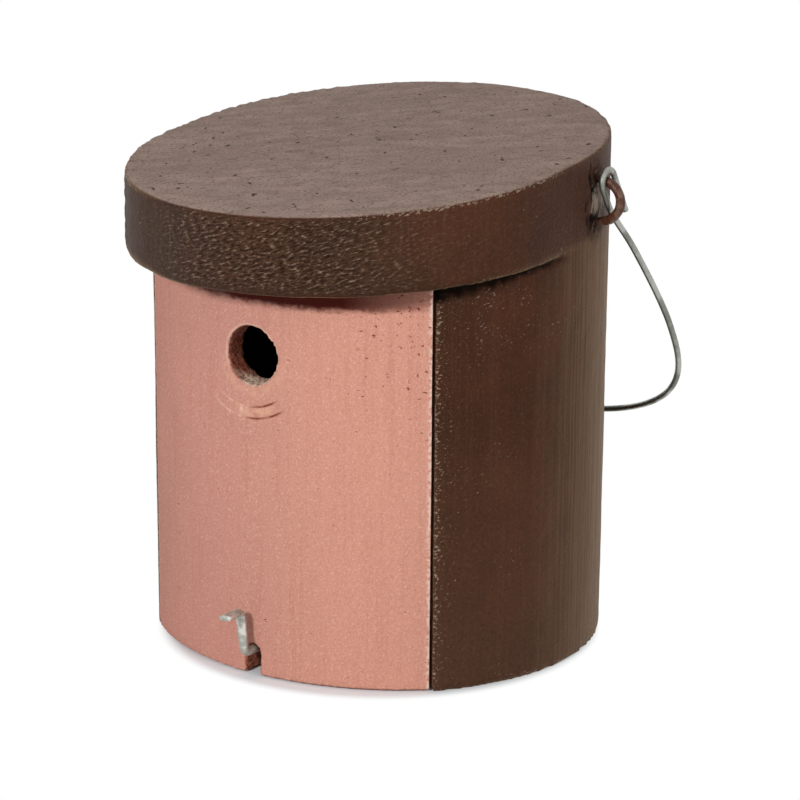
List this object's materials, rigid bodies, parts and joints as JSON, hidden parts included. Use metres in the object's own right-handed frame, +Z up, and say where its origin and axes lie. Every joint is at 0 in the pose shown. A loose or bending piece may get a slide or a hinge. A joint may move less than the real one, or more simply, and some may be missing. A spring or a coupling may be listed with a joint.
{
  "type": "birdhouse",
  "caption": "Round nest box cast in wood-concrete, with sloping overhanging roof, removable front panel with entrance hole, turning hook and wire hanging bail.",
  "frame": {"origin": "centre of the base's underside, on the axis of the round body", "axes": "+Z up, front with the entrance hole towards -Y, +X to the right of someone who looks at the front from -Y"},
  "size_m": [0.2408, 0.2395, 0.2497],
  "materials": {
    "painted_concrete": "dark brown weatherproof paint over cast wood-concrete, satin, wrinkled and speckled",
    "roof_concrete": "matte grey-brown brushed wood-concrete with fine pits",
    "bare_concrete": "matte terracotta-pink wood-concrete with fine sand grain",
    "bright_steel": "bright galvanised steel wire",
    "plug_plastic": "grey nylon wall plug",
    "painted_steel": "steel staple painted over with the brown of the body",
    "dull_steel": "dull grey-green galvanised steel wire"
  },
  "bodies": {
    "box": {"body_shell": "painted_concrete", "roof": "roof_concrete", "hook_plug": "plug_plastic", "staple_left": "painted_steel", "staple_right": "painted_steel"},
    "panel": {"front_panel": "bare_concrete"},
    "hook": {"turn_hook": "bright_steel"},
    "bail": {"hanger_bail": "dull_steel"}
  },
  "joints": [
    {"name": "bail_swing", "type": "hinge", "parent": "box", "child": "bail", "pos_m": [0, 0.022, 0.22528], "axis": [1, 0, 0], "range_deg": [0, 236]},
    {"name": "hook_turn", "type": "hinge", "parent": "box", "child": "hook", "pos_m": [0, 0, 0.0128], "axis": [0, 1, 0], "continuous": true},
    {"name": "panel_tilt", "type": "hinge", "parent": "box", "child": "panel", "pos_m": [0, -0.1042, 0.18832], "axis": [-1, 0, 0], "range_deg": [0, 80]}
  ]
}
